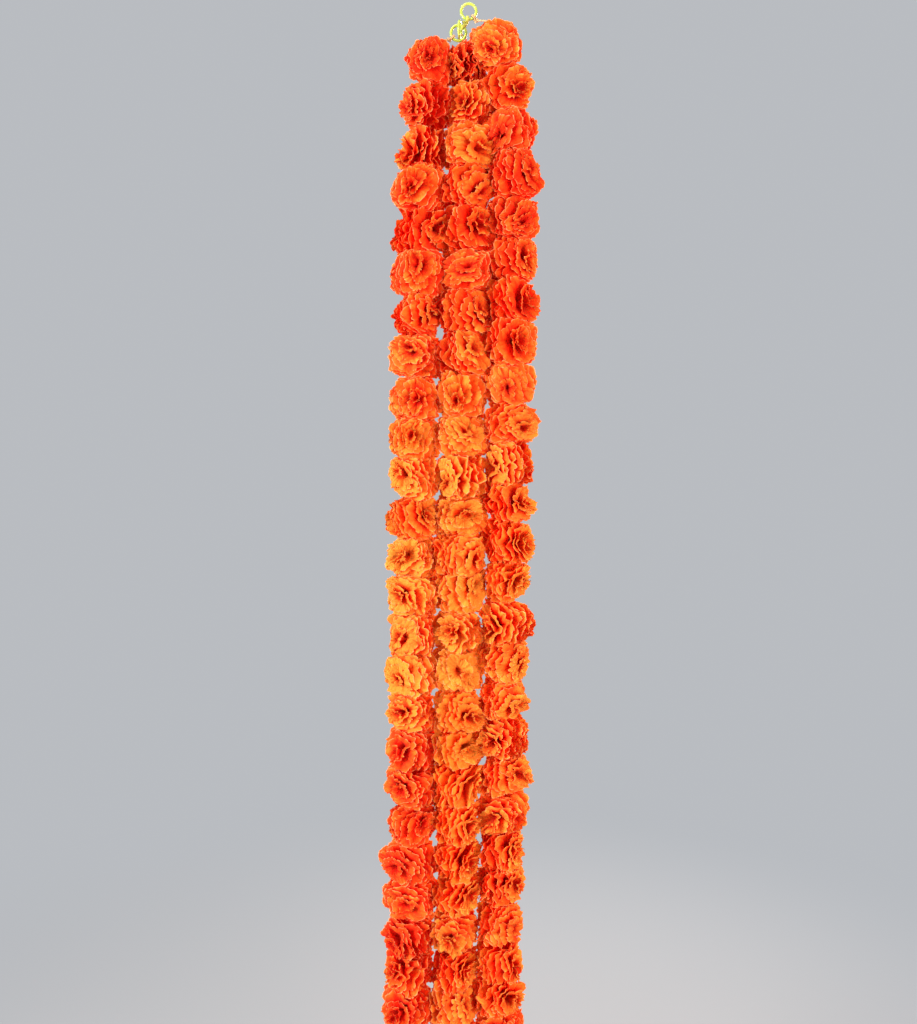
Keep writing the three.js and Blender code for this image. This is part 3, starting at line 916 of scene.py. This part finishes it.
def layerPoints(bloom, neighbours, cordUp):
    place = hangingPlace(bloom)
    reaches = []
    for step in (-1, 1):  # the bloom above, then the one below
        other = neighbours.get(bloom["row"] + step)
        gap = (hangingPlace(other) - place).length / 2 if other else strandPlan["reach"]
        reaches.append((gap + headPlan["overlap"]) * mm)
    flatAcross = Vector((math.cos(bloom["turn"]), math.sin(bloom["turn"]), 0))
    flatAcross = (flatAcross - cordUp * flatAcross.dot(cordUp)).normalized()
    key = bloom["key"]
    bloomDyeAndLight = dyeAndLightAt(bloom["side"], bloom["row"]) + (draw(key + 41) - 0.5) * dyeAndLightPlan["bloomVariety"]
    middle = place * mm
    size = bloom["size"] * headPlan["size"] * (1 + (draw(key + 60) - 0.5) * headPlan["sizeVariety"])
    rows = []
    for head in (-1, 1):
        nod = (draw(key + head + 5) - 0.5) * 2 * headPlan["nod"]
        out = (flatAcross * head + cordUp * nod).normalized()
        up = (cordUp - out * cordUp.dot(out)).normalized()
        beside = up.cross(out)
        headKey = key * 2 + head
        headSeed = draw(headKey + 9) * 60
        crowdAngle = draw(headKey + 29) * 2 * math.pi
        crowd = (up * math.sin(crowdAngle) + beside * math.cos(crowdAngle)) * headPlan["crowd"] * mm
        headDyeAndLight = bloomDyeAndLight + (draw(headKey + 77) - 0.5) * dyeAndLightPlan["headVariety"]
        throat = dyeAndLightPlan["throat"] * bloomDyeAndLight * draw(headKey + 3)
        openness = draw(headKey + 19) ** headPlan["closing"]
        squeezeAngle = draw(headKey + 39) * math.pi
        squeeze = up * math.sin(squeezeAngle) + beside * math.cos(squeezeAngle)
        for number, (opened, closed) in enumerate(zip(headPlan["open"], headPlan["closed"])):
            tier = number / (len(headPlan["open"]) - 1)
            layerKey = headKey * 7 + number
            points = [Vector(a).lerp(Vector(b), 1 - openness) for a, b in zip(opened, closed)]
            terms = bendTerms(points, size)
            lean = Vector((draw(layerKey + 1), draw(layerKey + 2))) * 2 - Vector((1, 1))
            lean *= headPlan["tilt"] * tier
            axis = (out + up * lean.x + beside * lean.y).normalized()
            spin = Matrix.Rotation(draw(layerKey + 3) * 2 * math.pi, 3, axis)
            layerUp = spin @ (up - axis * up.dot(axis)).normalized()
            rows.append({
                "middle": middle, "aside": crowd * tier, "out": axis,
                "squeeze": squeeze * math.sqrt(headPlan["squeeze"] * tier), "up": layerUp,
                "beside": layerUp.cross(axis), "cord": cordUp,
                "limits": Vector((*reaches, strandPlan[bloom["side"]]["open"])),
                "seeds": Vector((headSeed, draw(layerKey) * 60, number * headPlan["drift"])),
                "bend0": terms[0], "bend1": terms[1], "bend2": terms[2], "bend3": terms[3],
                "fold": inMetres(headPlan["fold"]) * (1 - headPlan["foldInside"] * tier),
                "pleat": inMetres(headPlan["pleat"]) * (1 - headPlan["pleatInside"] * tier),
                "dyeAndLight": headDyeAndLight + throat * (number >= dyeAndLightPlan["throatFrom"]),
                "petals": float(headPlan["petals"][number]),
            })
    return rows


def bloomPiece(tree, clothObject, side, number):
    above, below = blooms[side][2 * number], blooms[side][2 * number + 1]
    cordUp = (above["centre"] - below["centre"]).normalized()
    neighbours = dict(enumerate(blooms[side]))
    rows = layerPoints(above, neighbours, cordUp) + layerPoints(below, neighbours, cordUp)
    mesh = bpy.data.meshes.new("layers")
    mesh.from_pydata([row["middle"] for row in rows], [], [])
    for label, value in rows[0].items():
        if isinstance(value, float):
            attribute = mesh.attributes.new(label, "FLOAT", "POINT")
            attribute.data.foreach_set("value", [row[label] for row in rows])
        else:
            attribute = mesh.attributes.new(label, "FLOAT_VECTOR", "POINT")
            attribute.data.foreach_set("vector", [x for row in rows for x in row[label]])
    holder = linked("layers", mesh)
    shapeWith(holder, tree, {
        "Round": clothObject, "Cloth": petalCloth, "Fold Turns": headPlan["foldTurns"],
        "Pleat Turns": headPlan["pleatTurns"], "Crinkle": headPlan["crinkle"] * mm,
        "Firm": headPlan["firm"], "Reach": (strandPlan["reach"] + headPlan["beyond"]) * mm,
        "Petal Notch": headPlan["petalNotch"], "Petal Step": headPlan["petalStep"] * mm,
        "Widen": headPlan["widen"], "Spill": headPlan["spill"] * mm,
        "Slump": headPlan["slump"] * mm, "Slump Scale": headPlan["slumpScale"],
        "Round Off": headPlan["roundOff"],
    })
    name = f"ruffledBlooms_{side}_{number + 1:02d}"
    piece = plainPiece(holder, name, ("cloth", "reach", "dyeAndLight"))
    standFor(piece, "petal_fabric", f"blooms_{side}_{number + 1:02d}")
    return piece


def makeBlooms():
    tree, clothObject = headTree(), clothRound()
    pieces = [bloomPiece(tree, clothObject, side, number) for side in sides
              for number in range(strandPlan["rows"] // 2)]
    bpy.data.objects.remove(clothObject)
    count = sum(len(piece.data.polygons) for piece in pieces)
    print("blooms:", len(pieces), "pieces,", count, "triangles")


makeBlooms()


# the studio, in metres and watts
studioPlan = {
    "floorZ": -1.62,
    "floorRings": (1.0, 3.0, 9.0, 30.0),
    "floorSides": 64,
    "fade": (0.4, 1.8),  # the floor passes into the colour of the room between these distances
    "floor": (0.27, 0.277, 0.29),
    "room": (0.84, 0.87, 0.92),
    "roomLight": 0.58,
    "lights": [
        # name, place, aim, size, power, colour
        ("keyLight", (-1.5, -1.0, -0.2), (0, 0, -0.7), 0.8, 64, (1.0, 0.99, 0.95)),
        ("fillLight", (1.3, -1.8, -0.8), (0, 0, -0.85), 1.6, 74, (1.0, 0.66, 0.52)),
        ("topLight", (0.1, -0.5, 1.3), (0, 0, -0.5), 1.2, 12, (1.0, 1.0, 1.0)),
        ("backLight", (0.9, 2.2, 0.2), (0, 0, -0.75), 1.4, 120, (1.0, 0.93, 0.86)),
    ],
}


def floorPaper():
    paper, tree, node = newFinish("floorPaper")
    shader = tree.nodes["Principled BSDF"]
    shader.inputs["Base Color"].default_value = (*studioPlan["floor"], 1)
    shader.inputs["Roughness"].default_value = 1.0
    shader.inputs["Specular IOR Level"].default_value = 0.0
    place = node("ShaderNodeTexCoord").outputs["Object"]
    distance = node("ShaderNodeVectorMath", (place,), operation="LENGTH").outputs["Value"]
    near, far = studioPlan["fade"]
    faded = node("ShaderNodeMapRange", {"Value": distance, "From Min": near, "From Max": far},
                 interpolation_type="SMOOTHSTEP").outputs["Result"]
    room = node("ShaderNodeEmission", ((*studioPlan["room"], 1), studioPlan["roomLight"]))
    mixed = node("ShaderNodeMixShader", (faded, shader.outputs[0], room.outputs[0]))
    tree.links.new(mixed.outputs[0], tree.nodes["Material Output"].inputs["Surface"])
    return paper


def makeStudio():
    plan = studioPlan
    mesh = bpy.data.meshes.new("paleFloor")
    points, faces = [(0, 0, 0)], []
    rings, around = plan["floorRings"], plan["floorSides"]
    for radius in rings:
        for i in range(around):
            angle = 2 * math.pi * i / around
            points.append((math.cos(angle) * radius, math.sin(angle) * radius, 0))
    for i in range(around):
        j = (i + 1) % around
        faces.append((0, 1 + i, 1 + j))
        for ring in range(len(rings) - 1):
            inner, outer = 1 + ring * around, 1 + (ring + 1) * around
            faces.append((inner + i, outer + i, outer + j, inner + j))
    mesh.from_pydata(points, [], faces)
    mesh.materials.append(floorPaper())
    floor = linked("paleFloor", mesh)
    floor.location.z = plan["floorZ"]

    world = bpy.data.worlds.new("studio")
    scene.world = world
    world.use_nodes = True
    sky = world.node_tree.nodes["Background"]
    sky.inputs["Color"].default_value = (*plan["room"], 1)
    sky.inputs["Strength"].default_value = plan["roomLight"]
    for name, place, aim, size, power, colour in plan["lights"]:
        data = bpy.data.lights.new(name, "AREA")
        data.shape, data.size, data.energy, data.color = "DISK", size, power, colour
        lamp = linked(name, data)
        turn = (Vector(aim) - Vector(place)).to_track_quat("-Z", "Y")
        lamp.matrix_world = Matrix.Translation(Vector(place)) @ turn.to_matrix().to_4x4()
    scene.view_settings.view_transform = "Standard"


makeStudio()
print("studio set")
